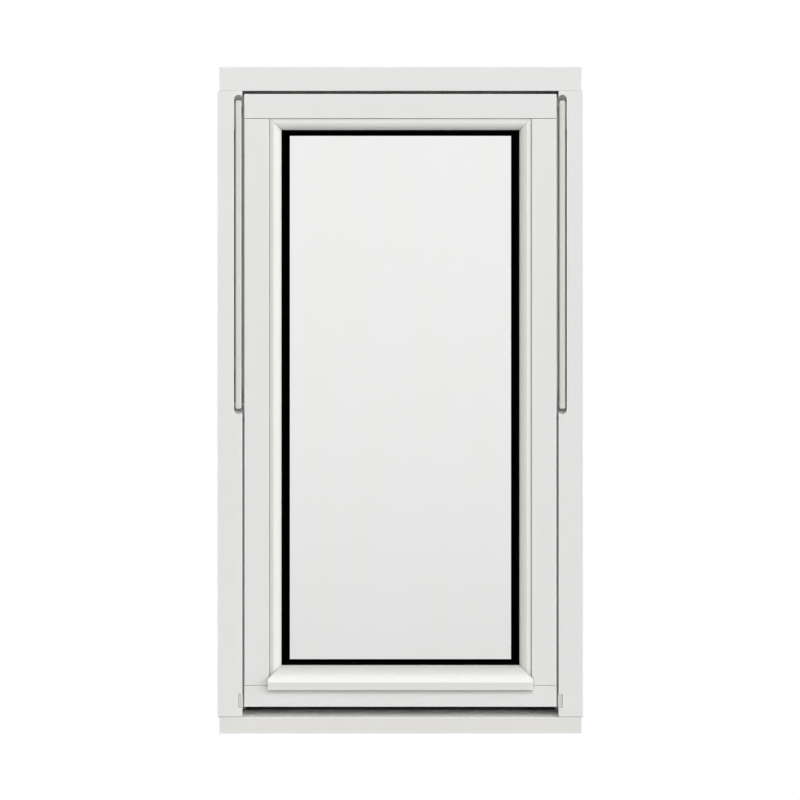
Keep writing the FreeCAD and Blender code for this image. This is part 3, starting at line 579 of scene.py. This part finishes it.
def capTree():
    tree, given, out = shapeGroup("coverCap", cap)
    disc = addNode(tree, "GeometryNodeMeshCone", {
        "Vertices": fixing["rimSides"], "Radius Top": given["Face"], "Radius Bottom": given["Radius"],
        "Depth": given["Thick"],
    }).outputs
    rim = addNode(tree, "GeometryNodeExtrudeMesh", {
        "Mesh": disc["Mesh"], "Selection": disc["Top"], "Offset Scale": 0.0, "Individual": False,
    }).outputs
    inset = addNode(tree, "GeometryNodeScaleElements", {
        "Geometry": rim["Mesh"], "Selection": rim["Top"], "Scale": fixing["inset"],
    }).outputs[0]
    dish = math2(tree, "MULTIPLY", given["Dish"], -1.0)
    dished = addNode(tree, "GeometryNodeExtrudeMesh", {
        "Mesh": inset, "Selection": rim["Top"], "Offset Scale": dish, "Individual": False,
    }).outputs["Mesh"]
    return closeTree(tree, out, dished, given, materials["capPlastic"])


def makeByNodes(name, tree, values):
    holder = bpy.data.objects.new(name + "_nodes", bpy.data.meshes.new(name + "_nodes"))
    scene.collection.objects.link(holder)
    modifier = holder.modifiers.new("shape", "NODES")
    modifier.node_group = tree
    for item in tree.interface.items_tree:
        if item.in_out == "INPUT":
            modifier[item.identifier] = values[item.name]
    mesh = bpy.data.meshes.new_from_object(holder.evaluated_get(bpy.context.evaluated_depsgraph_get()))
    mesh.name = name
    holder.modifiers.remove(modifier)
    bpy.data.objects.remove(holder)
    shell = bmesh.new()
    shell.from_mesh(mesh)
    bmesh.ops.remove_doubles(shell, verts=shell.verts, dist=fixing["weld"])
    bmesh.ops.recalc_face_normals(shell, faces=shell.faces)
    openEdges = sum(not edge.is_manifold for edge in shell.edges)
    shell.to_mesh(mesh)
    shell.free()
    piece = bpy.data.objects.new(name, mesh)
    scene.collection.objects.link(piece)
    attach(piece, "root")
    print("made", name, len(mesh.polygons), "faces,", openEdges, "open edges")


makeByNodes("fixing_sleeves", sleeveTree(), sleeve)
makeByNodes("fixing_caps", capTree(), cap)


# studio: floor, white surround, and a graded card on each side that only the glass and gloss see
studio = {
    "floorSize": 24.0,
    "floorZ": -0.0005,
    "floorTone": srgb(246, 246, 245),
    "floorBounce": srgb(217, 217, 215),  # the floor as the object's own faces see it
    "floorLift": 0.24,  # added where the camera, gloss or glass sees the floor
    "fillTone": (1.0, 0.996, 0.98, 1.0),
    "fillLow": 1.09,  # level of the surround that lights the object, at eye height
    "fillHigh": 0.0,  # and overhead
    "frontCardY": -4.5,
    "rearCardY": 2.6,
    "cardSize": 2.4,
    "gradeLow": 0.1,  # heights between which a card goes from its bottom level to its top level
    "gradeHigh": 1.0,
    "glassBottom": 0.886,
    "glassTop": 1.031,
    "glassBow": 0.7,
}


def plane(name, size, centre, upright=False):
    half = size / 2
    corners = [(-half, -half), (half, -half), (half, half), (-half, half)]
    x, y, z = centre
    points = [(x + a, y, z + b) if upright else (x + a, y + b, z) for a, b in corners]
    mesh = bpy.data.meshes.new(name)
    mesh.from_pydata(points, [], [(0, 1, 2, 3)])
    thing = bpy.data.objects.new(name, mesh)
    scene.collection.objects.link(thing)
    return thing


# 1 where the camera sees a thing, straight, in gloss or through glass
def seenRays(tree, path):
    seen = math2(tree, "MAXIMUM", path["Is Camera Ray"], path["Is Glossy Ray"])
    return math2(tree, "MAXIMUM", seen, path["Is Transmission Ray"])


def makeFloor():
    floor = plane("studio_floor", studio["floorSize"], (0, 0, studio["floorZ"]))
    material, tree, surface = emptyMaterial("paleFloor")
    path = addNode(tree, "ShaderNodeLightPath").outputs
    tone = mixTone(tree, path["Is Diffuse Ray"], studio["floorTone"], studio["floorBounce"])
    paper = addNode(tree, "ShaderNodeBsdfDiffuse", {"Color": tone}).outputs[0]
    lift = math2(tree, "MULTIPLY", seenRays(tree, path), studio["floorLift"])
    glow = addNode(tree, "ShaderNodeEmission", {"Color": white, "Strength": lift}).outputs[0]
    both = addNode(tree, "ShaderNodeAddShader", {0: paper, 1: glow}).outputs[0]
    tree.links.new(both, surface)
    floor.data.materials.append(material)


# graded behind the glass, dark in reflections, clear to everything else
def makeCard(name, y):
    card = plane(name, studio["cardSize"], (0, y, cadBounds[1][2] / 2), upright=True)
    material, tree, surface = emptyMaterial(name)
    height = separate(tree, addNode(tree, "ShaderNodeTexCoord").outputs["Object"])["Z"]
    share = remap(tree, height, 0.0, 1.0, studio["gradeLow"], studio["gradeHigh"])
    bow = remap(tree, share, 1.0 + studio["glassBow"], 1.0)
    graded = remap(tree, math2(tree, "MULTIPLY", share, bow), studio["glassBottom"], studio["glassTop"])
    path = addNode(tree, "ShaderNodeLightPath").outputs
    turns = math2(tree, "SUBTRACT", path["Ray Depth"], path["Transmission Depth"])
    straight = math2(tree, "LESS_THAN", turns, 0.5)  # no reflection on the way
    level = math2(tree, "MULTIPLY", graded, straight)
    glow = addNode(tree, "ShaderNodeEmission", {"Color": white, "Strength": level}).outputs[0]
    clear = addNode(tree, "ShaderNodeBsdfTransparent").outputs[0]
    rays = math2(tree, "MAXIMUM", path["Is Glossy Ray"], path["Is Transmission Ray"])
    mix = addNode(tree, "ShaderNodeMixShader", {0: rays, 1: clear, 2: glow}).outputs[0]
    tree.links.new(mix, surface)
    card.data.materials.append(material)


# white where it is seen, a fill that fades overhead where it lights the object
def makeSurround():
    world = bpy.data.worlds.new("studioSurround")
    world.use_nodes = True
    scene.world = world
    tree = world.node_tree
    tree.nodes.clear()
    seen = seenRays(tree, addNode(tree, "ShaderNodeLightPath").outputs)
    upward = separate(tree, addNode(tree, "ShaderNodeTexCoord").outputs["Generated"])["Z"]
    fill = remap(tree, upward, studio["fillLow"], studio["fillHigh"])
    back = addNode(tree, "ShaderNodeBackground", {
        "Color": mixTone(tree, seen, studio["fillTone"], white), "Strength": remap(tree, seen, fill, 1.0),
    })
    output = addNode(tree, "ShaderNodeOutputWorld")
    tree.links.new(back.outputs[0], output.inputs["Surface"])


makeFloor()
makeCard("front_card", studio["frontCardY"])
makeCard("rear_card", studio["rearCardY"])
makeSurround()
print("studio set")

# a lamp in front and above, a broad one at the right, and one on the room side,
# all far enough away to be even over the window
lamps = {
    "front": {"towards": (0.1, -0.8, 0.59), "strength": 0.84, "spread": 18.0},
    "side": {"towards": (0.85, -0.5, 0.16), "strength": 1.62, "spread": 50.0},
    "room": {"towards": (-0.5, 0.85, 0.12), "strength": 1.1, "spread": 25.0},
}
lampTone = (0.985, 0.99, 1.0)


def makeLamp(name, towards, strength, spread):
    data = bpy.data.lights.new(name, "SUN")
    data.energy = strength
    data.angle = math.radians(spread)
    data.color = lampTone
    lamp = bpy.data.objects.new(name, data)
    lamp.visible_glossy = False  # no lamp shows in gloss
    lamp.location = towards
    lamp.rotation_euler = (-lamp.location).to_track_quat("-Z", "Y").to_euler()
    scene.collection.objects.link(lamp)


for name, lamp in lamps.items():
    makeLamp(name, **lamp)
print("lamps set:", len(lamps))

# camera square to the outside face, one scale over the whole picture
shot = {"metresPerPixel": 0.00163, "pixels": 800, "x": -0.0007, "y": -3.0, "z": 0.5439}
camera = bpy.data.objects.new("camera", bpy.data.cameras.new("camera"))
camera.data.type = "ORTHO"
camera.data.ortho_scale = shot["metresPerPixel"] * shot["pixels"]
camera.location = (shot["x"], shot["y"], shot["z"])
camera.rotation_euler = (quarterTurn, 0, 0)
scene.collection.objects.link(camera)
scene.camera = camera
scene.view_settings.view_transform = "Standard"
print("camera set")
